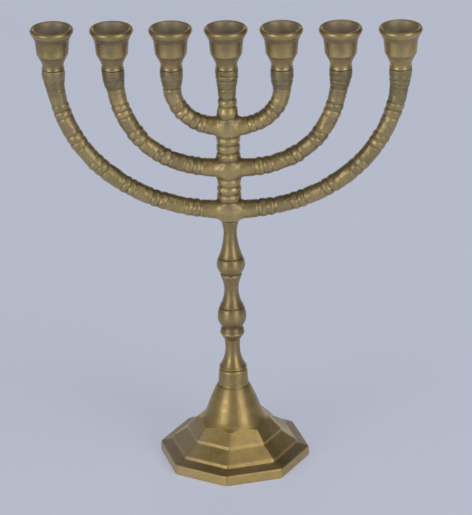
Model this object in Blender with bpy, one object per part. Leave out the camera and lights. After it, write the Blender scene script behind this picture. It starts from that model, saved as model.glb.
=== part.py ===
"""Seven-branch candlestick in antique brass.

An octagonal hollow foot, a turned stem, one ringed casting that carries the seven branches, and seven
turned candle cups that screw onto it.  Metres, +Z up, origin on the floor under the stem.  The branches
lie in the XZ plane and the front faces -Y.
"""

import math

import bmesh
import bpy
import numpy as np
from mathutils import Matrix, Vector

MM = 0.001
GAP = 0.3                       # left between pieces that touch, so that their meshes stay apart

# Heights of the joints between the pieces, mm
FOOT_TOP = 58.7
STEM_BOTTOM = FOOT_TOP + GAP
STEM_TOP = 156.6
TREE_BOTTOM = STEM_TOP + GAP
TIP_TOP = 254.0
CUP_BOTTOM = TIP_TOP + GAP

# Foot, mm.  Octagon sizes are measured to the corners.
FOOT_CORNER = 46.2
FOOT_TWIST = math.radians(-4.5)  # the foot is screwed on a little off square to the branches
FOOT_CEILING = 40.0
LIP_HEIGHT = 6.4
TIER_2 = (38.4, 10.2)            # corner radius and height of the lower ridge
TIER_3 = (28.7, 18.0)            # corner radius and height of the upper ridge
FLARE_FOOT = (20.6, 26.3)        # where the facets run out under the turned flare

# Branches, mm: half span, height of the arc, height of its centre, roundness, bead pairs on each side
ARCS = {
    "outer": {"half_span": 102.5, "rise": 93.4, "centre": 256.7, "roundness": 2.12, "pairs": 6, "hub": 17.0},
    "middle": {"half_span": 67.6, "rise": 75.7, "centre": 266.1, "roundness": 2.52, "pairs": 4, "hub": 16.5},
    "inner": {"half_span": 32.6, "rise": 27.8, "centre": 244.7, "roundness": 2.29, "pairs": 2, "hub": 13.0},
}
ARM_RADIUS = 5.2
HUB_RADIUS = 5.7
BEAD_LENGTH = 4.6
BEAD_RISE = 0.15
GROOVE_DEPTH = 0.45
GROOVE_HALF = 0.6
SLEEVE_LENGTH = 11.8             # the thicker end of each arm, under its cup
SLEEVE_RADIUS = 6.95
ARM_SIDES = 10

# Threaded studs and fastenings, mm
STUD_RADIUS = 2.4
STUD_DEPTH = 6.5                 # into the arm's tip
STUD_RISE = 5.0                  # into the cup
TREE_STUD_HALF = 9.0
ROD_RADIUS = 2.85
ROD_TOP = 70.5
WASHER_RADIUS = 9.0
WASHER_THICKNESS = 1.6
NUT_ACROSS_FLATS = 10.0
NUT_HEIGHT = 5.0
ROD_BELOW_NUT = 1.5

CUP_SEGMENTS = 20
STEM_SEGMENTS = 24
FLARE_SEGMENTS = 40
BORE_SEGMENTS = 12

BRASS = {
    "foot_brass": ((0.42, 0.30, 0.12, 1.0), 0.36),
    "stem_brass": ((0.40, 0.30, 0.13, 1.0), 0.34),
    "tree_brass": ((0.36, 0.27, 0.12, 1.0), 0.45),
    "cup_brass": ((0.38, 0.28, 0.12, 1.0), 0.38),
    "stud_brass": ((0.45, 0.34, 0.15, 1.0), 0.40),
    "steel": ((0.50, 0.50, 0.50, 1.0), 0.35),
}


def make_material(name):
    colour, roughness = BRASS[name]
    material = bpy.data.materials.new(name)
    material.use_nodes = True
    shader = material.node_tree.nodes["Principled BSDF"]
    shader.inputs["Base Color"].default_value = colour
    shader.inputs["Metallic"].default_value = 1.0
    shader.inputs["Roughness"].default_value = roughness
    material.diffuse_color = colour
    return material


def add_object(name, mesh, material=None, location=(0.0, 0.0, 0.0)):
    part = bpy.data.objects.new(name, mesh)
    part.location = Vector(location) * MM
    bpy.context.scene.collection.objects.link(part)
    if material is not None and not mesh.materials:
        mesh.materials.append(material)
    mesh.shade_smooth()
    mesh.set_sharp_from_angle(angle=math.radians(32))
    return part


def skin_rings(name, rings, start_point=None, end_point=None):
    """Closed mesh through a list of equal rings; each end is a flat cap, or a fan to a point."""
    bm = bmesh.new()
    loops = [[bm.verts.new(Vector(point) * MM) for point in ring] for ring in rings]
    sides = len(rings[0])
    for low, high in zip(loops, loops[1:]):
        for i in range(sides):
            j = (i + 1) % sides
            bm.faces.new((low[i], low[j], high[j], high[i]))
    for loop, point in ((loops[0][::-1], start_point), (loops[-1], end_point)):
        if point is None:
            bm.faces.new(loop)
            continue
        tip = bm.verts.new(Vector(point) * MM)
        for i in range(sides):
            bm.faces.new((loop[i], loop[(i + 1) % sides], tip))
    bmesh.ops.recalc_face_normals(bm, faces=bm.faces)
    mesh = bpy.data.meshes.new(name)
    bm.to_mesh(mesh)
    bm.free()
    return mesh


def circle(radius, height, segments, phase=0.0):
    turn = 2.0 * math.pi / segments
    return [(radius * math.cos(phase + k * turn), radius * math.sin(phase + k * turn), height)
            for k in range(segments)]


def lathe(name, outline, segments, phase=0.0):
    """Turned solid from (radius, height) points; an outline may start and end on the axis."""
    start = (0.0, 0.0, outline[0][1]) if outline[0][0] == 0.0 else None
    end = (0.0, 0.0, outline[-1][1]) if outline[-1][0] == 0.0 else None
    inner = outline[1 if start else 0:len(outline) - 1 if end else len(outline)]
    rings = [circle(radius, height, segments, phase) for radius, height in inner]
    return skin_rings(name, rings, start, end)


def tube(name, outline, segments, phase=0.0):
    """Turned ring from a closed (radius, height) outline that stays off the axis."""
    bm = bmesh.new()
    loops = [[bm.verts.new(Vector(point) * MM) for point in circle(radius, height, segments, phase)]
             for radius, height in outline]
    for low, high in zip(loops, loops[1:] + loops[:1]):
        for i in range(segments):
            j = (i + 1) % segments
            bm.faces.new((low[i], low[j], high[j], high[i]))
    bmesh.ops.recalc_face_normals(bm, faces=bm.faces)
    mesh = bpy.data.meshes.new(name)
    bm.to_mesh(mesh)
    bm.free()
    return mesh


def arc(centre, radius, start_deg, end_deg, steps):
    """Points of a round stretch of an outline; radius may be a pair for an elliptical one."""
    across, up = radius if isinstance(radius, tuple) else (radius, radius)
    angles = np.radians(np.linspace(start_deg, end_deg, steps + 1))
    return [(centre[0] + across * math.cos(a), centre[1] + up * math.sin(a)) for a in angles]


def combine(part, other, operation):
    """Applies a boolean between two objects and removes the second."""
    modifier = part.modifiers.new("combine", "BOOLEAN")
    modifier.operation = operation
    modifier.solver = "EXACT"
    modifier.object = other
    graph = bpy.context.evaluated_depsgraph_get()
    result = bpy.data.meshes.new_from_object(part.evaluated_get(graph))
    part.modifiers.clear()
    part.data = result
    bpy.data.objects.remove(other)


def bore(part, radius, bottom, top, x=0.0):
    """Cuts a straight vertical hole at distance x from the middle."""
    outline = [(0.0, bottom), (radius, bottom), (radius, top), (0.0, top)]
    cutter = add_object("cutter", lathe("cutter", outline, BORE_SEGMENTS), location=(x, 0.0, 0.0))
    combine(part, cutter, "DIFFERENCE")


def finish(part):
    part.data.shade_smooth()
    part.data.set_sharp_from_angle(angle=math.radians(32))


# ---------------------------------------------------------------- foot

def flare_outline():
    """Turned collar, cone and flare of the foot; it spreads out far below the facets."""
    collar = [(0.0, FOOT_TOP), (7.7, FOOT_TOP), (8.5, 58.0), (8.75, 54.5), (9.1, 49.6), (9.3, 47.9)]
    cone = [(9.9, 47.4), (11.6, 44.0), (13.8, 38.6), (14.9, 35.8)]
    flare = [(16.2, 32.0), (17.4, 29.0), (18.6, 26.9), (20.1, 25.3), (22.3, 24.2), (26.0, 23.4)]
    return collar + cone + flare + [(55.0, 21.0), (55.0, -5.0), (0.0, -5.0)]


def octagon_stack(name, levels):
    """Stepped octagonal block from (corner radius, height) levels; its corners carry the foot's twist."""
    return skin_rings(name, [circle(radius, height, 8, FOOT_TWIST) for radius, height in levels])


def build_foot(material):
    ridge_2, height_2 = TIER_2
    ridge_3, height_3 = TIER_3
    levels = [
        (FOOT_CORNER - 0.5, 0.0), (FOOT_CORNER, 0.5), (FOOT_CORNER, LIP_HEIGHT - 0.6),
        (FOOT_CORNER - 0.6, LIP_HEIGHT),
        (ridge_2 + 0.5, height_2 - 1.9), (ridge_2, height_2 - 0.2), (ridge_2 - 0.5, height_2 + 0.2),
        (ridge_3 + 0.5, height_3 - 1.9), (ridge_3, height_3 - 0.2), (ridge_3 - 0.5, height_3 + 0.2),
        FLARE_FOOT, (FLARE_FOOT[0], FOOT_TOP + 5.0),
    ]
    foot = add_object("foot", octagon_stack("foot", levels), material)
    turned = add_object("turned", lathe("turned", flare_outline(), FLARE_SEGMENTS))
    combine(foot, turned, "INTERSECT")
    hollow = [(42.6, -2.0), (42.6, 2.5), (36.0, 6.0), (26.0, 13.3), (17.0, 22.0), (12.5, 31.0),
              (11.2, FOOT_CEILING)]
    combine(foot, add_object("hollow", octagon_stack("hollow", hollow)), "DIFFERENCE")
    bore(foot, ROD_RADIUS + 1.5 * GAP, FOOT_CEILING - 2.0, FOOT_TOP + 2.0)
    foot.data.materials.clear()
    foot.data.materials.append(material)
    finish(foot)
    return foot


def build_foot_fastening(steel):
    """Rod from the stem down through the foot, with its washer and nut against the ceiling of the hollow."""
    washer_top = FOOT_CEILING - GAP
    nut_top = washer_top - WASHER_THICKNESS - GAP
    rod_bottom = nut_top - NUT_HEIGHT - ROD_BELOW_NUT
    hole = ROD_RADIUS + GAP
    rod = [(0.0, rod_bottom), (ROD_RADIUS - 0.5, rod_bottom), (ROD_RADIUS, rod_bottom + 0.5),
           (ROD_RADIUS, ROD_TOP - 0.5), (ROD_RADIUS - 0.5, ROD_TOP), (0.0, ROD_TOP)]
    add_object("foot_rod", lathe("foot_rod", rod, BORE_SEGMENTS), steel)
    ring = [(hole, washer_top), (hole, washer_top - WASHER_THICKNESS),
            (WASHER_RADIUS, washer_top - WASHER_THICKNESS), (WASHER_RADIUS, washer_top)]
    add_object("foot_washer", tube("foot_washer", ring, 24), steel)
    corner = NUT_ACROSS_FLATS / 2.0 / math.cos(math.pi / 6.0)
    block = skin_rings("foot_nut", [circle(corner, h, 6) for h in (nut_top - NUT_HEIGHT, nut_top)])
    nut = add_object("foot_nut", block, steel)
    bore(nut, hole, nut_top - NUT_HEIGHT - 1.0, nut_top + 1.0)
    nut.data.materials.clear()
    nut.data.materials.append(steel)


# ---------------------------------------------------------------- stem

def stem_outline():
    """Baluster from the collar up: trumpet, ring, lower bulb, waist, upper bulb, neck."""
    trumpet = [(8.1, STEM_BOTTOM), (8.4, 59.6), (7.5, 60.8), (5.9, 64.3), (4.75, 68.5), (4.4, 73.0)]
    ring = [(4.7, 77.2), (5.6, 79.8), (6.7, 81.2)] + arc((6.2, 83.3), (1.3, 1.7), -60, 60, 4) + [(6.35, 86.0)]
    lower_bulb = [(6.4, 87.2), (7.5, 88.7), (8.35, 90.6), (8.75, 93.2), (8.4, 96.4), (7.5, 99.4)]
    waist = [(6.85, 100.2), (6.6, 100.9), (5.5, 104.0), (4.6, 107.7), (4.3, 111.0)]
    upper_ogee = [(4.6, 114.2), (5.3, 117.2), (6.3, 120.1), (6.55, 121.8)]
    upper_bulb = [(6.6, 122.7), (7.6, 124.2), (8.45, 126.2), (8.6, 127.8), (8.2, 130.4), (7.6, 132.4)]
    neck = [(6.95, 133.2), (6.7, 134.0), (5.5, 138.2), (4.5, 143.2), (4.0, 148.2), (4.2, 151.6), (4.9, 154.6)]
    return trumpet + ring + lower_bulb + waist + upper_ogee + upper_bulb + neck + [(5.6, STEM_TOP)]


def build_stem(material):
    outline = [(0.0, STEM_BOTTOM)] + stem_outline() + [(0.0, STEM_TOP)]
    stem = add_object("stem", lathe("stem", outline, STEM_SEGMENTS), material)
    bore(stem, ROD_RADIUS + GAP, STEM_BOTTOM - 1.0, ROD_TOP + GAP)
    bore(stem, STUD_RADIUS + GAP, STEM_TOP - TREE_STUD_HALF - GAP, STEM_TOP + 1.0)
    stem.data.materials.clear()
    stem.data.materials.append(material)
    finish(stem)


# ---------------------------------------------------------------- branch casting

def half_arc(shape, samples=400):
    """Centre line of one arm from the middle out to its tip: arrays of arc length, x and z."""
    power = 2.0 / shape["roundness"]
    angle = np.linspace(0.0, math.pi / 2.0, samples)
    x = shape["half_span"] * np.sin(angle) ** power
    z = shape["centre"] - shape["rise"] * np.cos(angle) ** power
    if shape["centre"] < TIP_TOP:
        x = np.append(x, shape["half_span"])
        z = np.append(z, TIP_TOP)
    else:
        x_tip = np.interp(TIP_TOP, z, x)
        keep = z < TIP_TOP
        x = np.append(x[keep], x_tip)
        z = np.append(z[keep], TIP_TOP)
    length = np.append(0.0, np.cumsum(np.hypot(np.diff(x), np.diff(z))))
    return length, x, z


def bead_pair(start):
    """Stations of two round beads between three grooves, beginning at the first groove."""
    stations = [(start - GROOVE_HALF, ARM_RADIUS)]
    for k in range(3):
        groove = start + k * BEAD_LENGTH
        stations.append((groove, ARM_RADIUS - GROOVE_DEPTH))
        if k < 2:
            stations.append((groove + BEAD_LENGTH / 2.0, ARM_RADIUS + BEAD_RISE))
    stations.append((start + 2.0 * BEAD_LENGTH + GROOVE_HALF, ARM_RADIUS))
    return stations


def arm_stations(shape, length):
    """(arc length, radius) of one arm, from the middle of its hub to its tip."""
    first = shape["hub"]
    last = length - SLEEVE_LENGTH - 10.0 - 2.0 * BEAD_LENGTH
    starts = np.linspace(first, last, shape["pairs"])
    stations = [(0.0, HUB_RADIUS), (first * 0.5, HUB_RADIUS)]
    for start, following in zip(starts, list(starts[1:]) + [length - SLEEVE_LENGTH]):
        stations += bead_pair(start)
        band_start = start + 2.0 * BEAD_LENGTH
        stations.append(((band_start + following) / 2.0, ARM_RADIUS))
    sleeve = [(SLEEVE_LENGTH + 0.8, 5.4), (SLEEVE_LENGTH, 5.25), (SLEEVE_LENGTH - 0.9, 6.0), (7.5, 6.75),
              (6.8, 6.5), (6.1, 6.85), (3.2, SLEEVE_RADIUS), (0.0, SLEEVE_RADIUS - 0.1)]
    return stations + [(length - back, radius) for back, radius in sleeve]


def build_arc(name, shape):
    """Closed tube along one whole arc, tip to tip."""
    length, x, z = half_arc(shape)
    stations = arm_stations(shape, length[-1])
    mirrored = [(-s, r) for s, r in stations[:0:-1]] + stations
    rings = []
    for s, radius in mirrored:
        side = 1.0 if s >= 0.0 else -1.0
        here = abs(s)
        px, pz = np.interp(here, length, x), np.interp(here, length, z)
        near, far = max(here - 0.5, 0.0), min(here + 0.5, length[-1])
        run = np.interp(far, length, x) - np.interp(near, length, x)
        climb = np.interp(far, length, z) - np.interp(near, length, z)
        if here > length[-1] - SLEEVE_LENGTH * 0.6:
            run, climb = 0.0, 1.0
        if here == 0.0:
            run, climb = 1.0, 0.0
        scale = math.hypot(run, climb)
        normal = Vector((-side * climb / scale, 0.0, run / scale))
        across = Vector((0.0, 1.0, 0.0))
        centre = Vector((side * px, 0.0, pz))
        turn = 2.0 * math.pi / ARM_SIDES
        rings.append([centre + radius * (math.cos(k * turn) * across + math.sin(k * turn) * normal)
                      for k in range(ARM_SIDES)])
    return skin_rings(name, rings)


def column_outline():
    """Middle column: neck, beads between the three hubs, a bead pair, plain shaft and sleeve."""
    outline = [(0.0, TREE_BOTTOM), (5.7, TREE_BOTTOM), (6.8, 158.4), (7.1, 160.0), (7.1, 168.6)]
    for low, high in ((169.6, 185.0), (196.0, 211.6)):
        grooves = np.linspace(low, high, 4)
        for k, groove in enumerate(grooves):
            outline.append((6.5, groove))
            if k < 3:
                outline.append((7.3, groove + (grooves[1] - grooves[0]) / 2.0))
        if high < 200.0:
            outline += [(7.0, high + 0.8), (7.0, low + 25.6)]
    outline += [(7.0, 212.4), (6.9, 222.6), (6.0, 223.9), (6.4, 227.2), (5.4, 230.6), (5.85, 233.0), (5.1, 235.2)]
    outline += [(5.3, 236.0), (5.25, 240.6), (5.1, 242.0), (5.9, 242.9), (6.5, 246.6), (6.2, 247.3), (6.65, 248.0)]
    return outline + [(6.9, 251.0), (6.85, TIP_TOP), (0.0, TIP_TOP)]


def cup_places():
    """Middle of each candle cup along X, left to right."""
    reach = [float(half_arc(shape)[1][-1]) for shape in ARCS.values()]
    return [-r for r in reach] + [0.0] + reach[::-1]


def build_tree(material):
    tree = add_object("tree", lathe("tree", column_outline(), 16, math.pi / 16.0), material)
    for name, shape in ARCS.items():
        combine(tree, add_object(name, build_arc(name, shape)), "UNION")
    bore(tree, STUD_RADIUS + GAP, TREE_BOTTOM - 1.0, TREE_BOTTOM + TREE_STUD_HALF)
    for x in cup_places():
        bore(tree, STUD_RADIUS + GAP, TIP_TOP - STUD_DEPTH - GAP, TIP_TOP + 1.0, x)
    tree.data.materials.clear()
    tree.data.materials.append(material)
    finish(tree)
    middle = TREE_BOTTOM - GAP / 2.0
    half = TREE_STUD_HALF - GAP
    stud = [(0.0, middle - half), (STUD_RADIUS, middle - half), (STUD_RADIUS, middle + half), (0.0, middle + half)]
    add_object("tree_stud", lathe("tree_stud", stud, BORE_SEGMENTS), MATERIALS["stud_brass"])


# ---------------------------------------------------------------- candle cups

def cup_outline():
    """Cup outline about its own seat, from the top of the stud hole round to the socket floor."""
    hole = [(0.0, STUD_RISE + GAP), (STUD_RADIUS + GAP, STUD_RISE + GAP), (STUD_RADIUS + GAP, 0.0)]
    neck = [(6.6, 0.0), (6.75, 0.3), (6.5, 2.4), (6.8, 4.2)]
    body = [(9.1, 8.6), (9.5, 9.2), (9.75, 12.8), (10.3, 18.2)]
    lip = [(11.7, 21.1)] + arc((11.45, 23.5), (1.6, 1.9), -45, 90, 6)
    throat = [(10.2, 24.6), (8.8, 19.6), (8.0, 10.9)]
    floor = arc((5.0, 10.2), 3.0, 0, -90, 2) + [(0.0, 7.2)]
    return hole + neck + body + lip + throat + floor


def build_cups(cup_material, stud_material):
    cup_mesh = lathe("cup", cup_outline(), CUP_SEGMENTS)
    stud = [(0.0, -STUD_DEPTH - GAP), (STUD_RADIUS, -STUD_DEPTH - GAP), (STUD_RADIUS, STUD_RISE), (0.0, STUD_RISE)]
    stud_mesh = lathe("cup_stud", stud, BORE_SEGMENTS)
    for number, x in enumerate(cup_places(), start=1):
        place = (x, 0.0, CUP_BOTTOM)
        add_object(f"cup_{number}", cup_mesh, cup_material, place)
        add_object(f"cup_stud_{number}", stud_mesh, stud_material, place)


for old in list(bpy.data.objects):
    bpy.data.objects.remove(old)

MATERIALS = {name: make_material(name) for name in BRASS}
build_foot(MATERIALS["foot_brass"])
build_foot_fastening(MATERIALS["steel"])
build_stem(MATERIALS["stem_brass"])
build_tree(MATERIALS["tree_brass"])
build_cups(MATERIALS["cup_brass"], MATERIALS["stud_brass"])
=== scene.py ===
"""Looks of the branched brass candlestick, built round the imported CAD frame.

Every visible piece replaces the CAD node of the same name: the hollow octagonal foot, the turned stem, the
ringed branch casting, seven candle cups and the threaded fastenings.  Shapes are worked out in millimetres
and stored in metres.  The branches lie in the XZ plane and the front faces -Y.
"""

import math

import bmesh
import bpy
import numpy as np
from mathutils import Matrix, Vector


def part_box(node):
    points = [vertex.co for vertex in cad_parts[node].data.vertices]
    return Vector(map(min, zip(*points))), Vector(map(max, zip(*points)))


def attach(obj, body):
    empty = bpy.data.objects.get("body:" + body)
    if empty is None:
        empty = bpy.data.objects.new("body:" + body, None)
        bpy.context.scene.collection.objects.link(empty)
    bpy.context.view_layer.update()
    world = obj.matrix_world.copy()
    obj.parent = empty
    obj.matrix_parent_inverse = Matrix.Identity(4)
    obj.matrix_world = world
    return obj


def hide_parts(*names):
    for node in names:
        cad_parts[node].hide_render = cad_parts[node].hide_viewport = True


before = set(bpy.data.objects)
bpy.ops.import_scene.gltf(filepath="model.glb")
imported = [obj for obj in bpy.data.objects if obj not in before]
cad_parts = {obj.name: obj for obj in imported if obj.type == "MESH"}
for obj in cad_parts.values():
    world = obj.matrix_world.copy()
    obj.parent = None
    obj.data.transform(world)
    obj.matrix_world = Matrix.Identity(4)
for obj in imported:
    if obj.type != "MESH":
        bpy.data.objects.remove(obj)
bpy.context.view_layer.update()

MM = 0.001
TAU = 2.0 * math.pi
CUPS = range(1, 8)
RNG = np.random.default_rng(7)

# Foot, mm
FOOT_SIDES = 8
FOOT_TWIST = math.radians(-4.5)  # the octagon against the plane of the branches
FOOT_CEILING = 40.0              # top of the hollow underneath
FOOT_POINTS_PER_SIDE = 26
FACET_POINTS = 170               # points up the stepped facets, at each angle
FLARE_POINTS = 150               # points up the turned flare above them
CORNER_SHARPNESS = 110.0         # power of the soft maximum that rounds the octagon's corners

# Stem, mm
STEM_SEGMENTS = 112

# Branch casting, mm
ARM_RADIUS = 5.2
HUB_RADIUS = 5.7
BEAD_LENGTH = 4.6
BEAD_HEIGHT = 0.2
GROOVE_DEPTH = 0.32
SLEEVE_LENGTH = 11.8
SLEEVE_PROFILE = (               # distance back from the tip, radius
    (0.0, 6.75), (2.6, 6.85), (5.0, 6.75), (7.8, 6.35), (10.0, 5.95), (11.6, 5.65), (13.2, 5.45), (16.0, 5.3),
    (19.0, ARM_RADIUS),
)
CAST_LUMPS = ((0.12, 14.0), (0.09, 5.0), (0.05, 2.4))           # height, wavelength
FILLET = 3.0                     # size of the casting fillets where branches cross the column
GRID_STEP = 0.42
CUP_HOLE_DEPTH = 6.8
STEM_HOLE_DEPTH = 9.0
ARCS = (                         # the nested arcs from the outer one in; pairs counts the pairs of cast beads
    {"half_span": 102.5, "rise": 93.4, "centre": 256.7, "roundness": 2.12, "pairs": 6, "hub": 17.0},
    {"half_span": 67.6, "rise": 75.7, "centre": 266.1, "roundness": 2.52, "pairs": 4, "hub": 16.5},
    {"half_span": 32.6, "rise": 27.8, "centre": 244.7, "roundness": 2.29, "pairs": 2, "hub": 13.0},
)

# Candle cups
CUP_SEGMENTS = 72
CUP_OVAL = 0.004                 # how far each cup is from round, as a share of its radius
CUP_DULLER = (0.10, 0.05, 0.0, 0.0, -0.10, -0.15, -0.25)        # against the common brass, cups 1 to 7

# Fastenings, mm
STUD_RADIUS = 2.4
STUD_HOLE = 2.7
STUD_PITCH = 0.8
THREAD_SEGMENTS = 32
THREAD_SHARE = 0.61              # depth of a sharp thread, as a share of its pitch
THREAD_BLUNT = 0.8               # how much of that depth is cut
THREAD_CHAMFER = 0.6
ROD_PITCH = 1.0
ROD_HOLE = 3.3
WASHER_RADIUS = 9.0
WASHER_SEGMENTS = 72
NUT_SIDES = 6
NUT_POINTS_PER_SIDE = 16
NUT_SHARPNESS = 160.0
NUT_FACE_RADIUS = 5.05           # where the bevel of the nut's corners starts
NUT_BEVEL = 0.6                  # drop of that bevel for each mm outward

# Light: softbox power in watts, and the strength of the studio walls
WORLD_COLOUR = (1.0, 0.985, 0.96, 1.0)
WORLD_FRONT_BACK = (0.36, 0.13)
WORLD_LEFT_RIGHT = (1.1, 0.72)
WORLD_BACKDROP = 1.4
WORLD_CEILING = 0.16
KEY_LEFT = 70.0
KEY_RIGHT = 72.0
TOP_RIGHT = 21.0
LIGHT_TARGET = (0.0, 0.0, 0.15)

# Floor
FLOOR_HALF = 9.0
FLOOR_COLOURS = (0.72, 0.765, 0.94, 1.0), (0.73, 0.775, 0.955, 1.0)
FLOOR_GLOW = (0.765, 0.833, 1.0, 1.0)
FLOOR_GLOW_STRENGTH = 0.245

# Camera: degrees, metres, and millimetres for the lens
CAMERA_AZIMUTH = 2.76
CAMERA_ELEVATION = 24.19
CAMERA_ROLL = -1.26
CAMERA_DISTANCE = 2.1744
CAMERA_AIM_HEIGHT = 0.1317
CAMERA_LENS = 252.1748
CAMERA_FRAME_HEIGHT = 36.0
CAMERA_SHIFT = 0.0102


def corners_mm(node):
    """Lowest and highest corner of a CAD node, in millimetres."""
    low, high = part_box(node)
    return np.array(low) / MM, np.array(high) / MM


def middle_x(node):
    low, high = corners_mm(node)
    return float(low[0] + high[0]) / 2.0


# ---------------------------------------------------------------- mesh helpers

def store_attribute(mesh, name, kind, values):
    """Per-point values that the materials read."""
    attribute = mesh.attributes.new(name, kind, "POINT")
    field = "vector" if kind == "FLOAT_VECTOR" else "value"
    attribute.data.foreach_set(field, np.asarray(values, np.float32).ravel())


def mesh_piece(name, points, faces, node, body, location=(0.0, 0.0, 0.0), tarnish_and_painted_shade=0.0, tint=0.0, dust_and_painted_sheen=0.0):
    """Object from points in mm and faces; it replaces a CAD node and rides on that node's body.
    At each point, tarnish and dust go from 0 to 1, and tint leans to rose below 0 and to green above; the
    tarnish value also holds painted shade and the dust value a painted pale sheen."""
    mesh = bpy.data.meshes.new(name)
    mesh.from_pydata((np.asarray(points) * MM).tolist(), [], faces)
    mesh.validate()
    bm = bmesh.new()
    bm.from_mesh(mesh)
    bmesh.ops.recalc_face_normals(bm, faces=bm.faces)
    bm.to_mesh(mesh)
    bm.free()
    mesh.shade_smooth()
    store_cavity(mesh)
    level = np.zeros(len(points))
    store_attribute(mesh, "tarnish_and_painted_shade", "FLOAT", level + np.clip(tarnish_and_painted_shade, 0.0, 1.0))
    store_attribute(mesh, "tint", "FLOAT", level + tint)
    store_attribute(mesh, "dust_and_painted_sheen", "FLOAT", level + dust_and_painted_sheen)
    store_attribute(mesh, "pattern", "FLOAT_VECTOR", (np.asarray(points) + location) * MM)
    piece = bpy.data.objects.new(name, mesh)
    piece.location = Vector(location) * MM
    bpy.context.scene.collection.objects.link(piece)
    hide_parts(node)
    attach(piece, body)
    return piece


def grid_faces(rows, columns, closed_rows=False):
    """Quads over rows of points that wrap round; closed_rows joins the last row to the first."""
    last = rows if closed_rows else rows - 1
    i, j = np.meshgrid(np.arange(last), np.arange(columns), indexing="ij")
    i_next = (i + 1) % rows
    j_next = (j + 1) % columns
    row, next_row = i * columns, i_next * columns
    quads = np.stack([row + j, row + j_next, next_row + j_next, next_row + j], -1)
    return quads.reshape(-1, 4).tolist()


def store_cavity(mesh, passes=3):
    """Stores how hollow the surface is: under 0.5 on edges and crests, over 0.5 in grooves and corners."""
    count = len(mesh.vertices)
    points = np.empty(count * 3)
    normals = np.empty(count * 3)
    mesh.vertices.foreach_get("co", points)
    mesh.vertices.foreach_get("normal", normals)
    edges = np.empty(len(mesh.edges) * 2, dtype=np.int64)
    mesh.edges.foreach_get("vertices", edges)
    points, normals, edges = points.reshape(-1, 3), normals.reshape(-1, 3), edges.reshape(-1, 2)
    degree = np.maximum(np.bincount(edges.ravel(), minlength=count), 1)

    def neighbour_mean(values):
        total = np.zeros_like(values)
        np.add.at(total, edges[:, 0], values[edges[:, 1]])
        np.add.at(total, edges[:, 1], values[edges[:, 0]])
        return total / degree.reshape((-1,) + (1,) * (values.ndim - 1))

    length = np.linalg.norm(points[edges[:, 0]] - points[edges[:, 1]], axis=1)
    around = np.zeros(count)
    np.add.at(around, edges[:, 0], length)
    np.add.at(around, edges[:, 1], length)
    around /= degree
    lift = ((neighbour_mean(points) - points) * normals).sum(axis=1)
    bend = lift / np.maximum(around, 1e-6) ** 2 * MM
    for _ in range(passes):
        bend = 0.5 * bend + 0.5 * neighbour_mean(bend)
    store_attribute(mesh, "cavity", "FLOAT", np.clip(0.5 + 0.8 * bend, 0.0, 1.0))


def curve_through(points, step):
    """Catmull-Rom curve through (radius, height) points, sampled about every step mm."""
    points = np.asarray(points, dtype=float)
    if len(points) == 2:
        count = max(2, int(np.hypot(*(points[1] - points[0])) / step) + 1)
        return points[0] + np.linspace(0.0, 1.0, count)[:, None] * (points[1] - points[0])
    padded = np.vstack([2 * points[0] - points[1], points, 2 * points[-1] - points[-2]])
    out = []
    for k in range(1, len(padded) - 2):
        p0, p1, p2, p3 = padded[k - 1:k + 3]
        count = max(2, int(np.hypot(*(p2 - p1)) / step) + 1)
        t = np.linspace(0.0, 1.0, count, endpoint=False)[:, None]
        out.append(0.5 * (2 * p1 + (p2 - p0) * t + (2 * p0 - 5 * p1 + 4 * p2 - p3) * t ** 2
                          + (3 * p1 - p0 - 3 * p2 + p3) * t ** 3))
    out.append(points[-1:])
    return np.vstack(out)


def run_length(line):
    """Distance along a line to each of its points."""
    return np.append(0.0, np.cumsum(np.hypot(*np.diff(line, axis=0).T)))


def respace(line, count):
    """The same line with count evenly spaced points."""
    length = run_length(line)
    at = np.linspace(0.0, length[-1], count)
    return np.stack([np.interp(at, length, line[:, k]) for k in range(2)], -1)


def resample(line, step):
    """The same line with points about every step mm."""
    return respace(line, max(3, int(round(run_length(line)[-1] / step)) + 1))


def blur_weights(step, radius):
    """Weights that round the corners of a line sampled every step mm, and how far they reach either way."""
    reach = max(1, int(3.0 * radius / step))
    weights = np.exp(-0.5 * (np.arange(-reach, reach + 1) * step / radius) ** 2)
    return weights / weights.sum(), reach


def blur(padded, weights):
    """Smooth version of a line that was padded by the weights' reach at both ends."""
    return np.stack([np.convolve(padded[:, k], weights, "valid") for k in range(2)], -1)


def soften(line, step, radius):
    """Rounds the corners of an evenly sampled line; its ends stay put."""
    weights, reach = blur_weights(step, radius)
    first, last = line[0], line[-1]
    smooth = blur(np.vstack([2 * first - line[reach:0:-1], line, 2 * last - line[-2:-reach - 2:-1]]), weights)
    smooth[0], smooth[-1] = first, last
    return smooth


def closed_outline(corners, step, radius):
    """Closed loop through corners, with the corners rounded."""
    line = resample(np.vstack([corners, corners[:1]]).astype(float), step)[:-1]
    weights, reach = blur_weights(step, radius)
    return blur(np.vstack([line[-reach:], line, line[:reach]]), weights)


def outline(*curves, step=0.32, radius=0.22):
    """One turned outline from curves that meet at corners; the corners are slightly rounded."""
    line = np.vstack([curve_through(curve, step) for curve in curves])
    keep = np.append(True, np.hypot(*np.diff(line, axis=0).T) > 1e-6)
    return soften(resample(line[keep], step), step, radius)


def turned_points(line, segments, oval=0.0, phase=0.0):
    """Rings of points for an outline that starts and ends on the axis, with a point at each end."""
    turn = np.arange(segments) * TAU / segments
    inner = line[1:-1]
    stretch = 1.0 + oval * np.cos(2.0 * turn + phase)
    x = inner[:, :1] * (np.cos(turn) * stretch)[None]
    y = inner[:, :1] * (np.sin(turn) * stretch)[None]
    z = np.repeat(inner[:, 1:], segments, axis=1)
    rings = np.stack([x, y, z], -1).reshape(-1, 3)
    return np.vstack([rings, [[0.0, 0.0, line[0, 1]]], [[0.0, 0.0, line[-1, 1]]]])


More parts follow.
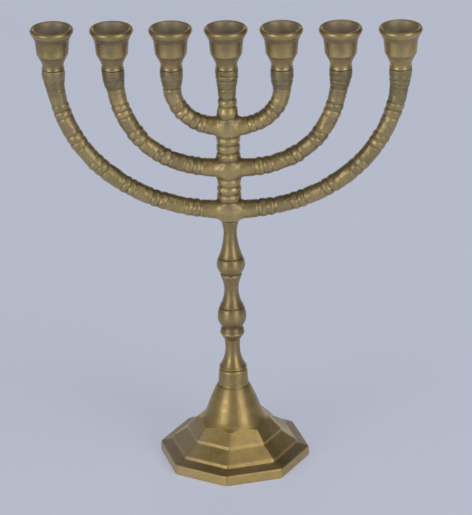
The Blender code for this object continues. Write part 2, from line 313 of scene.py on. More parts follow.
def capped_faces(rows, segments):
    """Faces over rings of points, with both ends closed by a fan about each of the last two points."""
    faces = grid_faces(rows, segments)
    start, end = rows * segments, rows * segments + 1
    last = (rows - 1) * segments
    for j in range(segments):
        k = (j + 1) % segments
        faces.append([start, k, j])
        faces.append([end, last + j, last + k])
    return faces


def turned_piece(name, line, segments, body, age_and_painted_shade, location=(0.0, 0.0, 0.0), oval=0.0, phase=0.0, duller=0.0):
    """Lathe piece; the age function, given radius and height, gives its tarnish, which includes painted
    shade, and its dust.
    """
    points = turned_points(line, segments, oval, phase)
    tarnish_and_painted_shade, dust_and_painted_sheen = age_and_painted_shade(np.hypot(points[:, 0], points[:, 1]), points[:, 2])
    faces = capped_faces(len(line) - 2, segments)
    return mesh_piece(name, points, faces, name, body, location, tarnish_and_painted_shade + duller, dust_and_painted_sheen=dust_and_painted_sheen)


def ring_mesh(loops, angles):
    """Points and faces of a body with a hole: one closed (radius, height) loop at each angle."""
    rows = [np.stack([loop[:, 0] * math.cos(angle), loop[:, 0] * math.sin(angle), loop[:, 1]], -1)
            for angle, loop in zip(angles, loops)]
    points = np.stack(rows, 1)
    faces = grid_faces(points.shape[0], points.shape[1], closed_rows=True)
    return points.reshape(-1, 3), faces


def ramp(value, *stops):
    """Piecewise straight curve through (value, result) stops."""
    at, result = np.array(stops).T
    return np.interp(value, at, result)


# ---------------------------------------------------------------- foot

def polygon_factor(turn, sides, twist, sharpness):
    """Distance from the axis to a rounded polygon's side at each angle, as a share of its corner radius."""
    faces = twist + (np.arange(sides) + 0.5) * TAU / sides
    facing = np.clip(np.cos(turn[:, None] - faces[None]), 0.0, 1.0)
    return math.cos(math.pi / sides) * (facing ** sharpness).sum(axis=1) ** (-1.0 / sharpness)


def polygon_angles(sides, twist, per_side):
    """Angles round a polygon, closer together near its corners."""
    u = (np.arange(per_side) + 0.5) / per_side * 2.0 - 1.0
    within = np.sin(u * math.pi / 2.0) * math.pi / sides
    middles = twist + (np.arange(sides) + 0.5) * TAU / sides
    return (middles[:, None] + within[None]).ravel()


def foot_facets():
    """Stepped side of the octagonal block, from the floor up, measured to the corners."""
    return outline(
        [(45.7, 0.0), (46.25, 0.6)], [(46.25, 0.6), (45.95, 6.1)], [(45.95, 6.1), (45.4, 6.55)],
        [(45.4, 6.55), (39.0, 8.2)], [(39.0, 8.2), (38.6, 10.0)], [(38.6, 10.0), (37.9, 10.55)],
        [(37.9, 10.55), (29.3, 16.1)], [(29.3, 16.1), (29.0, 17.8)], [(29.0, 17.8), (28.3, 18.35)],
        [(28.3, 18.35), (20.6, 26.3)], [(20.6, 26.3), (20.6, 34.0)], step=0.25, radius=0.22)


def foot_flare():
    """Turned flare, cone and collar, from far outside the facets up to the top face."""
    return outline(
        [(34.0, 22.6), (26.0, 23.4), (22.3, 24.2), (20.1, 25.3), (18.6, 26.9), (17.4, 29.0), (16.2, 32.0),
         (14.9, 35.8), (13.8, 38.6), (11.6, 44.0), (10.0, 47.3)],
        [(10.0, 47.3), (9.35, 47.9)], [(9.35, 47.9), (9.1, 49.8), (8.8, 54.5), (8.6, 57.6)],
        [(8.6, 57.6), (7.8, 58.6)], step=0.25, radius=0.2)


def foot_section(factor, facets, flare):
    """Outer side at one angle: facets up to where the turned flare cuts them, then the flare."""
    side = facets * (factor, 1.0)
    order = np.argsort(flare[:, 1])
    flare_at = np.interp(side[:, 1], flare[order, 1], flare[order, 0])
    high = side[:, 1] > 20.0
    cut = int(np.argmax(high & (side[:, 0] > flare_at)))
    meeting = side[cut]
    above = flare[flare[:, 1] > meeting[1]]
    return respace(side[:cut + 1], FACET_POINTS), respace(np.vstack([meeting, above]), FLARE_POINTS)


def foot_hollow():
    """Underside of the casting, from the floor up to the ceiling, measured to the corners."""
    return outline([(42.6, 0.0), (42.4, 2.6), (36.0, 6.0), (26.0, 13.3), (17.0, 22.0), (12.5, 31.0),
                    (11.3, 38.6), (10.4, FOOT_CEILING)], step=1.2, radius=1.0)


def foot_age_and_painted_light(points):
    """Darker on the flat ledges, which is painted shade, and tarnish on the collar; a pale painted sheen on
    the facets that face the sides and the back.
    """
    # The ledge above the lip is darkened here as painted shade; the values on the cone and the collar are
    # tarnish.
    tarnish_and_painted_shade = ramp(points[:, 2], (6.0, 0.05), (6.7, 0.75), (8.0, 0.8), (8.6, 0.1), (10.2, 0.1), (11.0, 0.3),
                   (15.5, 0.2), (16.5, 0.0), (18.0, 0.0), (19.0, 0.15), (26.0, 0.15), (30.0, 0.35),
                   (46.5, 0.3), (47.6, 0.6), (57.0, 0.5), (57.8, 0.1))
    # Painted sheen: facets are paled by which way they face, most at the back and the sides.
    facing = np.degrees(np.arctan2(points[:, 0], -points[:, 1]))
    dust_and_painted_sheen = ramp(facing, (-180.0, 0.9), (-125.0, 0.95), (-100.0, 0.7), (-60.0, 0.55), (-42.0, 0.3),
                (-25.0, 0.0), (50.0, 0.0), (65.0, 0.2), (80.0, 0.3), (110.0, 0.55), (125.0, 1.0),
                (180.0, 0.9))
    outer = ramp(np.hypot(points[:, 0], points[:, 1]), (17.0, 0.0), (24.0, 1.0))
    return tarnish_and_painted_shade, dust_and_painted_sheen * outer


def build_foot(material):
    top = corners_mm("foot")[1][2]
    angles = polygon_angles(FOOT_SIDES, FOOT_TWIST, FOOT_POINTS_PER_SIDE)
    facets, flare, hollow = foot_facets(), foot_flare(), foot_hollow()
    loops = []
    for factor in polygon_factor(angles, FOOT_SIDES, FOOT_TWIST, CORNER_SHARPNESS):
        lower, upper = foot_section(factor, facets, flare)
        inside = hollow * (factor, 1.0)
        ceiling = curve_through([inside[-1], (ROD_HOLE, FOOT_CEILING)], 1.2)[1:]
        bore = curve_through([(ROD_HOLE, FOOT_CEILING), (ROD_HOLE, top)], 1.5)[1:]
        lid = curve_through([(ROD_HOLE, top), upper[-1]], 0.8)[1:-1]
        loops.append(np.vstack([lower, upper[1:], lid[::-1], bore[::-1], ceiling[::-1], inside[::-1]]))
    points, faces = ring_mesh(loops, angles)
    tarnish_and_painted_shade, dust_and_painted_sheen = foot_age_and_painted_light(points)
    piece = mesh_piece("foot", points, faces, "foot", "holder", tarnish_and_painted_shade=tarnish_and_painted_shade, dust_and_painted_sheen=dust_and_painted_sheen)
    piece.data.materials.append(material)


# ---------------------------------------------------------------- stem

def stem_line(bottom, top):
    """Baluster from the collar of the foot up to the branches, with its hidden bores left solid."""
    return outline(
        [(0.0, bottom), (8.0, bottom)],
        [(8.0, bottom), (8.45, 59.7), (7.5, 60.9), (5.9, 64.3), (4.75, 68.5), (4.4, 73.0), (4.6, 76.4),
         (4.95, 78.4)],
        [(4.95, 78.4), (5.7, 79.3), (6.7, 81.0), (7.3, 82.1)],
        [(7.3, 82.1), (7.5, 82.6), (7.2, 83.2)],
        [(7.2, 83.2), (7.05, 84.2), (6.75, 85.4), (6.25, 86.2)],
        [(6.25, 86.2), (6.4, 87.1), (7.5, 88.7), (8.35, 90.6), (8.75, 93.2), (8.4, 96.4), (7.65, 99.1)],
        [(7.65, 99.1), (6.75, 99.75)], [(6.75, 99.75), (7.25, 100.5)],
        [(7.25, 100.5), (6.7, 101.2), (5.5, 104.0), (4.6, 107.7), (4.3, 111.0), (4.6, 114.2), (5.3, 117.2),
         (6.3, 119.9), (6.6, 121.4)],
        [(6.6, 121.4), (6.05, 122.0)],
        [(6.05, 122.0), (6.75, 122.8), (7.7, 124.3), (8.45, 126.2), (8.6, 127.8), (8.25, 130.2),
         (7.7, 131.8)],
        [(7.7, 131.8), (6.75, 132.4)], [(6.75, 132.4), (7.3, 133.2)],
        [(7.3, 133.2), (6.7, 134.1), (5.5, 138.2), (4.5, 143.2), (4.0, 148.2), (4.25, 151.6), (4.85, 154.4),
         (5.65, top)],
        [(5.65, top), (0.0, top)], step=0.28, radius=0.2)


def stem_age_and_painted_shade(radius, height):
    """Darker below each ring and knob, which is painted shade; brighter on the crests; no dust."""
    # Painted shade: the tarnish rises under the ring and under the lower side of each knob.
    tarnish_and_painted_shade = ramp(height, (59.0, 0.25), (66.0, 0.4), (80.0, 0.7), (82.0, 0.3), (83.0, 0.3), (84.0, 0.85),
                   (88.0, 0.85), (92.0, 0.5), (96.0, 0.45), (99.0, 0.65), (101.0, 0.5), (115.0, 0.6),
                   (120.0, 0.5), (121.0, 0.25), (122.5, 0.85), (124.0, 0.65), (128.0, 0.35), (133.0, 0.6),
                   (134.0, 0.4), (140.0, 0.5), (150.0, 0.6))
    return tarnish_and_painted_shade, 0.0


def build_stem(material):
    low, high = corners_mm("stem")
    piece = turned_piece("stem", stem_line(low[2], high[2]), STEM_SEGMENTS, "holder", stem_age_and_painted_shade)
    piece.data.materials.append(material)


# ---------------------------------------------------------------- branch casting

def half_arc(shape, tip_top, samples=700):
    """Centre line of one arm from the middle out to its tip: arc length, x and z."""
    power = 2.0 / shape["roundness"]
    angle = np.linspace(0.0, math.pi / 2.0, samples)
    x = shape["half_span"] * np.sin(angle) ** power
    z = shape["centre"] - shape["rise"] * np.cos(angle) ** power
    above = 6.0                  # the line runs past the tip, which is cut flat later
    if shape["centre"] < tip_top:
        x = np.append(x, shape["half_span"])
        z = np.append(z, tip_top + above)
    else:
        x_tip = np.interp(tip_top, z, x)
        keep = z < tip_top
        x = np.append(x[keep], [x_tip, x_tip])
        z = np.append(z[keep], [tip_top, tip_top + above])
    length = run_length(np.stack([x, z], -1))
    at = np.arange(0.0, length[-1], 0.25)
    return at, np.interp(at, length, x), np.interp(at, length, z)


def bump(at, centre, half):
    """Smooth hill of height 1 at centre that ends half away from it."""
    near = np.clip(1.0 - ((at - centre) / half) ** 2, 0.0, 1.0)
    return near * near


def arm_marks(shape, tip_length, rng):
    """Grooves (arc length, depth, half width) and beads (arc length, half length) along one arm."""
    grooves, beads = [], []
    last = tip_length - SLEEVE_LENGTH - 10.0 - 2.0 * BEAD_LENGTH
    for start in np.linspace(shape["hub"], last, shape["pairs"]):
        length = BEAD_LENGTH * (1.0 + 0.06 * rng.standard_normal())
        start = start + 0.35 * rng.standard_normal()
        for k in range(3):
            depth = GROOVE_DEPTH * rng.uniform(0.75, 1.35)
            grooves.append((start + k * length, depth, rng.uniform(0.9, 1.5)))
        beads += [(start + (k + 0.5) * length, length * 0.5) for k in range(2)]
        for _ in range(2):
            grooves.append((start + rng.uniform(2.4, 5.0) * length, rng.uniform(0.05, 0.12), 0.7))
    for back, depth in ((3.4, 0.10), (6.6, 0.22), (11.8, 0.24)):
        grooves.append((tip_length - back, depth * rng.uniform(0.7, 1.3), 0.9))
    return grooves, beads


def arm_radius(at, shape, tip_length, grooves, beads):
    """Radius along one arm: hub, pairs of cast beads between plain bands, and the sleeve under the cup."""
    radius = ARM_RADIUS + (HUB_RADIUS - ARM_RADIUS) * np.clip(1.4 - at / shape["hub"], 0.0, 1.0)
    back = tip_length - at
    radius = np.where(back < SLEEVE_PROFILE[-1][0], np.maximum(ramp(back, *SLEEVE_PROFILE), radius), radius)
    for middle, half in beads:
        radius = radius + BEAD_HEIGHT * bump(at, middle, half)
    for middle, depth, half in grooves:
        radius = radius - depth * bump(at, middle, half)
    return radius


def make_arms(top):
    """The six arms, left then right for each arc: centre line, radius and where their bands begin."""
    rng = np.random.default_rng(11)
    arms = []
    for shape in ARCS:
        at, line_x, line_z = half_arc(shape, top)
        tip_length = float(np.interp(top, line_z[-60:], at[-60:]))
        for side in (-1.0, 1.0):
            grooves, beads = arm_marks(shape, tip_length, rng)
            bands = np.sort([middle for middle, depth, _ in grooves if depth > 0.14])
            arms.append({"at": at, "x": side * line_x, "z": line_z, "bands": bands,
                         "radius": arm_radius(at, shape, tip_length, grooves, beads)})
    return arms


def column_radius(z, bottom, top):
    """Radius of the middle column by height: neck, beads between hubs, bead pair, shaft and sleeve."""
    radius = ramp(z, (bottom, 5.7), (158.3, 6.6), (160.0, 7.0), (222.4, 6.8), (224.0, 6.4), (230.0, 5.7),
                  (235.0, 5.2), (239.5, 5.3), (242.4, 5.65), (244.2, 5.95), (246.3, 6.35), (249.0, 6.75),
                  (251.5, 6.85), (top, 6.75))
    for low, high in ((169.6, 185.0), (196.0, 211.6)):
        pitch = (high - low) / 3.0
        for k in range(4):
            radius = radius - 0.5 * bump(z, low + k * pitch, 1.3)
            if k < 3:
                radius = radius + 0.3 * bump(z, low + (k + 0.5) * pitch, pitch * 0.5)
    for groove in (223.6, 230.6, 235.4):
        radius = radius - 0.45 * bump(z, groove, 1.1)
    for crest in (227.2, 233.0):
        radius = radius + 0.3 * bump(z, crest, 2.6)
    for groove in (242.0, 247.4, 250.6):
        radius = radius - 0.3 * bump(z, groove, 0.8)
    return radius


def soft_least(a, b, size):
    """Smooth minimum of two distance fields, which leaves a fillet of about that size."""
    share = np.clip(0.5 + 0.5 * (b - a) / size, 0.0, 1.0)
    return b + (a - b) * share - size * share * (1.0 - share)


def nearest_on_line(x, z, line_x, line_z, at, chunk=40, reach=26.0):
    """Distance in the XZ plane to a line and the arc length there, for every point that lies within reach.
    The line is searched one chunk at a time, against the points near that chunk."""
    flat = np.stack([x.ravel(), z.ravel()], -1)
    best = np.full(len(flat), np.inf)
    where = np.zeros(len(flat))
    for start in range(0, len(line_x), chunk):
        part = slice(start, min(start + chunk + 1, len(line_x)))
        middle = np.array([line_x[part].mean(), line_z[part].mean()])
        close = np.nonzero(np.hypot(*(flat - middle).T) < reach)[0]
        gap = np.hypot(flat[close, None, 0] - line_x[None, part], flat[close, None, 1] - line_z[None, part])
        k = gap.argmin(axis=1)
        gap = gap[np.arange(len(close)), k]
        better = gap < best[close]
        best[close[better]] = gap[better]
        where[close[better]] = at[part][k[better]]
    return best.reshape(x.shape), where.reshape(x.shape)


def arc_profiles(plane_x, plane_z, arms):
    """For each arc, the distance to its centre line and its radius there, over the XZ plane."""
    far = 40.0
    profiles = []
    for first in range(0, len(arms), 2):
        distance = np.full(plane_x.shape, np.inf)
        radius = np.full(plane_x.shape, ARM_RADIUS)
        for arm in arms[first:first + 2]:
            gap, where = nearest_on_line(plane_x, plane_z, arm["x"], arm["z"], arm["at"])
            closer = gap < distance
            distance = np.where(closer, gap, distance)
            radius = np.where(closer, np.interp(where, arm["at"], arm["radius"]), radius)
        profiles.append((np.minimum(distance, far), radius))
    return profiles


def tree_field(x, y, z, bottom, top, arms):
    """Signed distance, roughly, to the casting on a grid; negative inside."""
    plane_x, plane_z = np.meshgrid(x, z, indexing="ij")
    profiles = arc_profiles(plane_x, plane_z, arms)
    column = column_radius(z, bottom, top)
    cup_x = [middle_x(f"cup_{number}") for number in CUPS]
    field = np.empty((len(x), len(y), len(z)), dtype=np.float32)
    for j, depth in enumerate(y):
        layer = np.hypot(plane_x, depth) - column[None]
        for distance, radius in profiles:
            layer = soft_least(layer, np.hypot(distance, depth) - radius, FILLET)
        layer = np.maximum(layer, np.maximum(bottom - plane_z, plane_z - top))
        for centre in cup_x:
            hole = STUD_HOLE - np.hypot(plane_x - centre, depth)
            layer = np.maximum(layer, np.minimum(hole, plane_z - (top - CUP_HOLE_DEPTH)))
        hole = STUD_HOLE - np.hypot(plane_x, depth)
        layer = np.maximum(layer, np.minimum(hole, bottom + STEM_HOLE_DEPTH - plane_z))
        field[:, j] = layer
    return field


CELL_CORNERS = [(i, j, k) for i in (0, 1) for j in (0, 1) for k in (0, 1)]


def cell_points(field, cells):
    """One point in each cell, in grid steps: the mean of where the surface crosses the cell's edges."""
    place = np.zeros((len(cells), 3))
    hits = np.zeros(len(cells))
    for a in CELL_CORNERS:
        for b in CELL_CORNERS:
            if sum(b) - sum(a) != 1 or any(q < p for p, q in zip(a, b)):
                continue
            value_a = field[tuple((cells + a).T)]
            value_b = field[tuple((cells + b).T)]
            crossing = (value_a < 0.0) != (value_b < 0.0)
            share = np.where(crossing, value_a / np.where(crossing, value_a - value_b, 1.0), 0.0)
            spot = np.array(a) + share[:, None] * (np.array(b) - np.array(a))
            place += np.where(crossing[:, None], spot, 0.0)
            hits += crossing
    return cells + place / hits[:, None]


def crossing_quads(inside, index, axis):
    """A quad over the four cells round every grid edge along one axis that goes through the surface."""
    low = [slice(1, -1)] * 3
    low[axis] = slice(0, -1)
    high = list(low)
    high[axis] = slice(1, None)
    offset = np.ones(3, dtype=int)
    offset[axis] = 0
    edge = np.argwhere(inside[tuple(low)] != inside[tuple(high)]) + offset
    unit = np.eye(3, dtype=int)
    step_u, step_v = unit[(axis + 1) % 3], unit[(axis + 2) % 3]
    around = [edge - step_u - step_v, edge - step_v, edge, edge - step_u]
    ring = np.stack([index[tuple(cell.T)] for cell in around], -1)
    outward = inside[tuple(edge.T)]
    ring[~outward] = ring[~outward][:, ::-1]
    return ring


def surface_net(field, x, y, z):
    """Points and quads of the zero surface of a field, one point in each cell that the surface crosses."""
    inside = field < 0.0
    shape = tuple(n - 1 for n in field.shape)
    total = sum(inside[i:i + shape[0], j:j + shape[1], k:k + shape[2]].astype(np.int8)
                for i, j, k in CELL_CORNERS)
    cells = np.argwhere((total > 0) & (total < len(CELL_CORNERS)))
    index = np.full(shape, -1, dtype=np.int32)
    index[tuple(cells.T)] = np.arange(len(cells))
    points = np.array([x[0], y[0], z[0]]) + cell_points(field, cells) * (x[1] - x[0])
    return points, np.vstack([crossing_quads(inside, index, axis) for axis in range(3)])


def cast_wobble(points, amplitude, wave, rng):
    """Smooth irregular offset in mm, of a casting finished by hand."""
    total = np.zeros(len(points))
    for _ in range(9):
        direction = rng.standard_normal(3)
        direction /= np.linalg.norm(direction)
        total += np.sin(points @ direction * TAU / (wave * rng.uniform(0.7, 1.6)) + rng.uniform(0.0, TAU))
    return amplitude * total / 3.0


def arm_colouring(points, arms):
    """Height over the nearest arm's centre line, and a tarnish and tint that change from band to band."""
    rng = np.random.default_rng(23)
    best = np.full(len(points), 9.0)
    height, tone, tint = (np.zeros(len(points)) for _ in range(3))
    for arm in arms:
        gap, where = nearest_on_line(points[:, 0], points[:, 2], arm["x"], arm["z"], arm["at"])
        closer = gap < best
        where = where[closer]
        best[closer] = gap[closer]
        height[closer] = points[closer, 2] - np.interp(where, arm["at"], arm["z"])
        band = np.searchsorted(arm["bands"], where)
        away = ramp(where, (9.0, 0.0), (17.0, 1.0))
        tone[closer] = away * rng.uniform(-0.22, 0.22, len(arm["bands"]) + 1)[band]
        tint[closer] = away * rng.uniform(-0.45, 0.45, len(arm["bands"]) + 1)[band]
    return height, tone, tint


def tree_tarnish_and_painted_shade(points, top, height, tone):
    """Duller towards the tips, away from the middle and from band to band; darker on the arms' upper sides,
    which is painted shade.
    """
    near_tip = ramp(points[:, 2], (top - 26.0, 0.0), (top - 12.0, 0.7), (top, 0.8))
    from_middle = ramp(np.abs(points[:, 0]), (10.0, 0.05), (22.0, 0.35), (60.0, 0.4), (105.0, 0.5))
    # Painted shade on the arms' upper sides.
    painted_top_shade = ramp(height, (1.2, 0.0), (4.6, 0.55))
    return np.maximum(near_tip, from_middle) + painted_top_shade + tone


def roughen(piece, points, bottom, top):
    """Moves a casting's points along their normals by its lumps, except near the flat cut ends."""
    rng = np.random.default_rng(5)
    normals = np.empty(len(points) * 3)
    piece.data.vertices.foreach_get("normal", normals)
    above = np.clip((points[:, 2] - bottom - 1.0) / 2.0, 0.0, 1.0)
    below = np.clip((top - 1.0 - points[:, 2]) / 2.0, 0.0, 1.0)
    lumps = sum(cast_wobble(points, size, wave, rng) for size, wave in CAST_LUMPS)
    points = points + normals.reshape(-1, 3) * (lumps * (below * above))[:, None]
    piece.data.vertices.foreach_set("co", (points * MM).ravel())
    piece.data.update()


def build_tree(material):
    low, high = corners_mm("tree")
    bottom, top = low[2], high[2]
    margin = 4 * GRID_STEP
    x, y, z = (np.arange(low[k] - margin, high[k] + margin, GRID_STEP) for k in range(3))
    arms = make_arms(top)
    points, quads = surface_net(tree_field(x, y, z, bottom, top, arms), x, y, z)
    height, tone, tint = arm_colouring(points, arms)
    piece = mesh_piece("tree", points, quads.tolist(), "tree", "holder",
                       tarnish_and_painted_shade=tree_tarnish_and_painted_shade(points, top, height, tone), tint=tint)
    roughen(piece, points, bottom, top)
    piece.data.materials.append(material)


# ---------------------------------------------------------------- candle cups

def cup_line():
    """Cup about its own seat, from the top of the stud hole round to the floor of the socket."""
    return outline(
        [(0.0, 5.3), (STUD_HOLE, 5.3)], [(STUD_HOLE, 5.3), (STUD_HOLE, 0.0)], [(STUD_HOLE, 0.0), (6.6, 0.0)],
        [(6.6, 0.0), (6.7, 0.4), (6.35, 1.8), (6.6, 3.6), (7.5, 5.7), (8.5, 7.7), (9.15, 8.9)],
        [(9.15, 8.9), (9.45, 9.4), (9.65, 11.8), (9.9, 15.0), (10.25, 18.3)],
        [(10.25, 18.3), (11.0, 19.6), (11.85, 21.3)],
        [(11.85, 21.3), (12.5, 22.3), (12.95, 23.5), (12.95, 24.3), (12.6, 25.0), (11.9, 25.35),
         (10.95, 25.15), (10.2, 24.2), (9.6, 22.4), (9.0, 19.4), (8.4, 15.6), (8.05, 11.4), (7.5, 8.9),
         (6.3, 7.6), (4.6, 7.2)],
        [(4.6, 7.2), (0.0, 7.2)], step=0.34, radius=0.16)


def cup_age_and_painted_shade(radius, height):
    """Bright lip and edges on dull sides, which are darker under the lip and under the body's lower edge as
    painted shade; dust inside.
    """
    # Painted shade: the outside darkens just under the body's lower edge and up under the lip.
    outside = ramp(height, (0.0, 0.35), (4.0, 0.4), (7.0, 0.6), (8.7, 0.95), (9.3, 0.1), (10.4, 0.15),
                   (13.0, 0.45), (18.3, 0.75), (21.0, 0.9), (21.6, 0.1), (23.4, 0.2), (24.6, 0.2))
    inside = ramp(height, (7.0, 0.5), (22.0, 0.4), (25.0, 0.2))
    wall = ramp(height, (7.0, 7.3), (9.0, 8.3), (11.4, 8.85), (20.0, 9.8), (25.0, 11.3))
    within = (radius < wall) & (height > 7.0)
    dust_and_painted_sheen = np.where(within, ramp(height, (22.0, 1.0), (25.0, 0.4)), 0.0)
    return np.where(within, inside, outside), dust_and_painted_sheen


def build_cups(material, stud_material):
    line = cup_line()
    for number in CUPS:
        low, high = corners_mm(f"cup_{number}")
        place = (middle_x(f"cup_{number}"), 0.0, low[2])
        piece = turned_piece(f"cup_{number}", line, CUP_SEGMENTS, f"cup_{number}", cup_age_and_painted_shade, place, CUP_OVAL,
                             RNG.uniform(0.0, TAU), CUP_DULLER[number - 1])
        piece.data.materials.append(material)
        name = f"cup_stud_{number}"
        low, high = corners_mm(name)
        stud = threaded_piece(name, STUD_RADIUS, low[2], high[2], STUD_PITCH, f"stud_{number}", place[0])
        stud.data.materials.append(stud_material)


# ---------------------------------------------------------------- fastenings

def threaded_piece(name, radius, bottom, top, pitch, body, x=0.0):
    """Stud with a real helical thread and chamfered ends."""
    heights = np.append(np.arange(bottom, top, pitch / 8.0), top)
    turn = np.arange(THREAD_SEGMENTS) * TAU / THREAD_SEGMENTS
    z, angle = np.meshgrid(heights, turn, indexing="ij")
    phase = (z / pitch - angle / TAU) % 1.0
    depth = THREAD_SHARE * pitch * np.abs(2.0 * phase - 1.0)
    chamfer = np.maximum(0.0, THREAD_CHAMFER - np.minimum(z - bottom, top - z))
    rho = np.maximum(radius - depth * THREAD_BLUNT - chamfer, 0.5)
    rings = np.stack([rho * np.cos(angle), rho * np.sin(angle), z], -1).reshape(-1, 3)
    points = np.vstack([rings, [[0.0, 0.0, bottom]], [[0.0, 0.0, top]]])
    faces = capped_faces(len(heights), THREAD_SEGMENTS)
    return mesh_piece(name, points - (0.0, 0.0, bottom), faces, name, body, (x, 0.0, bottom))


def nut_section(across, low, high):
    """Cut through the nut at one angle, from its bore out to across, with the corners bevelled."""
    chamfer, land = 0.3, 0.05
    drop = max(0.0, (across - NUT_FACE_RADIUS) * NUT_BEVEL)
    rim, face = ROD_HOLE + 0.4, across - drop / NUT_BEVEL - land
    corners = [(ROD_HOLE, low + chamfer), (rim, low), (face, low), (across, low + drop + land),
               (across, high - drop - land), (face, high), (rim, high), (ROD_HOLE, high - chamfer)]
    return closed_outline(corners, 0.2, 0.1)


def build_fastenings(steel, stud_material):
    low, high = corners_mm("foot_washer")
    section = closed_outline([(ROD_HOLE, low[2]), (WASHER_RADIUS, low[2]), (WASHER_RADIUS, high[2]),
                              (ROD_HOLE, high[2])], 0.15, 0.12)
    angles = np.arange(WASHER_SEGMENTS) * TAU / WASHER_SEGMENTS
    points, faces = ring_mesh([section] * WASHER_SEGMENTS, angles)
    washer = mesh_piece("foot_washer", points, faces, "foot_washer", "holder")

    low, high = corners_mm("foot_nut")
    angles = polygon_angles(NUT_SIDES, 0.0, NUT_POINTS_PER_SIDE)
    corner = float(high[0])
    loops = [nut_section(corner * factor, low[2], high[2])
             for factor in polygon_factor(angles, NUT_SIDES, 0.0, NUT_SHARPNESS)]
    count = min(len(loop) for loop in loops)
    loops = [respace(np.vstack([loop, loop[:1]]), count + 1)[:-1] for loop in loops]
    points, faces = ring_mesh(loops, angles)
    nut = mesh_piece("foot_nut", points, faces, "foot_nut", "holder")

    low, high = corners_mm("foot_rod")
    rod = threaded_piece("foot_rod", float(high[0]), low[2], high[2], ROD_PITCH, "holder")
    for piece in (washer, nut, rod):
        piece.data.materials.append(steel)

    low, high = corners_mm("tree_stud")
    stud = threaded_piece("tree_stud", STUD_RADIUS, low[2], high[2], STUD_PITCH, "holder")
    stud.data.materials.append(stud_material)


# ---------------------------------------------------------------- materials

CLOUD = 0.28                     # how far the tarnish wavers either way


class Nodes:
    """Short calls for building one material's node tree."""

    def __init__(self, name):
        self.material = bpy.data.materials.new(name)
        self.material.use_nodes = True
        self.tree = self.material.node_tree
        self.shader = self.tree.nodes["Principled BSDF"]
        self.place = self.add("ShaderNodeTexCoord").outputs["Object"]
        self.pattern = self.place

    def add(self, kind, **settings):
        node = self.tree.nodes.new(kind)
        for key, value in settings.items():
            setattr(node, key, value)
        return node

    def link(self, value, socket):
        if isinstance(value, bpy.types.NodeSocket):
            self.tree.links.new(value, socket)
        else:
            socket.default_value = value

    def math(self, operation, a, b=0.0, clamp=False):
        node = self.add("ShaderNodeMath", operation=operation, use_clamp=clamp)
        self.link(a, node.inputs[0])
        self.link(b, node.inputs[1])
        return node.outputs[0]

    def noise(self, scale, detail=3.0, roughness=0.55, vector=None):
        node = self.add("ShaderNodeTexNoise")
        self.link(self.pattern if vector is None else vector, node.inputs["Vector"])
        node.inputs["Scale"].default_value = scale
        node.inputs["Detail"].default_value = detail
        node.inputs["Roughness"].default_value = roughness
        return node.outputs["Fac"]

    def fit(self, value, low, high, out_low=0.0, out_high=1.0):
        node = self.add("ShaderNodeMapRange", clamp=True)
        self.link(value, node.inputs["Value"])
        limits = {"From Min": low, "From Max": high, "To Min": out_low, "To Max": out_high}
        for socket, number in limits.items():
            node.inputs[socket].default_value = number
        return node.outputs["Result"]

    def mix(self, share, a, b):
        node = self.add("ShaderNodeMix", data_type="RGBA")
        self.link(share, node.inputs["Factor"])
        self.link(a, node.inputs["A"])
        self.link(b, node.inputs["B"])
        return node.outputs["Result"]

    def attribute(self, name, output="Fac"):
        return self.add("ShaderNodeAttribute", attribute_name=name).outputs[output]

    def turned_vector(self, along, round_about):
        """Coordinates that run fast along the axis and slowly round it, for marks left by a lathe."""
        split = self.add("ShaderNodeSeparateXYZ")
        self.link(self.place, split.inputs[0])
        x, y, z = split.outputs
        rho = self.math("SQRT", self.math("ADD", self.math("MULTIPLY", x, x), self.math("MULTIPLY", y, y)))
        joined = self.add("ShaderNodeCombineXYZ")
        self.link(self.math("MULTIPLY", x, round_about), joined.inputs[0])
        self.link(self.math("MULTIPLY", y, round_about), joined.inputs[1])
        self.link(self.math("MULTIPLY", self.math("ADD", z, rho), along), joined.inputs[2])
        return joined.outputs[0]

    def bump(self, height, distance, strength):
        node = self.add("ShaderNodeBump")
        node.inputs["Strength"].default_value = strength
        node.inputs["Distance"].default_value = distance
        self.link(height, node.inputs["Height"])
        self.link(node.outputs["Normal"], self.shader.inputs["Normal"])


def tinted_metal(n, colours):
    """Base colour in blotches of warmer metal, leaning to green or to rose in places."""
    blotch = n.fit(n.noise(95.0, 4.0, 0.6), 0.38, 0.66)
    colour = n.mix(blotch, colours["base"], colours["warm"])
    tint = n.math("ADD", n.attribute("tint"), n.fit(n.noise(240.0, 3.0, 0.6), 0.34, 0.66, -0.5, 0.5))
    colour = n.mix(n.fit(tint, 0.05, 0.65, 0.0, 0.6), colour, colours["green"])
    return n.mix(n.fit(tint, -0.65, -0.05, 0.6, 0.0), colour, colours["rose"])


def lathe_sheen(n):
    """Highlights stretched round the axis, as on metal finished on a lathe."""
    tangent = n.add("ShaderNodeTangent", direction_type="RADIAL", axis="Z")
    n.link(tangent.outputs["Tangent"], n.shader.inputs["Tangent"])
    n.shader.inputs["Anisotropic"].default_value = 0.45
    n.shader.inputs["Anisotropic Rotation"].default_value = 0.25


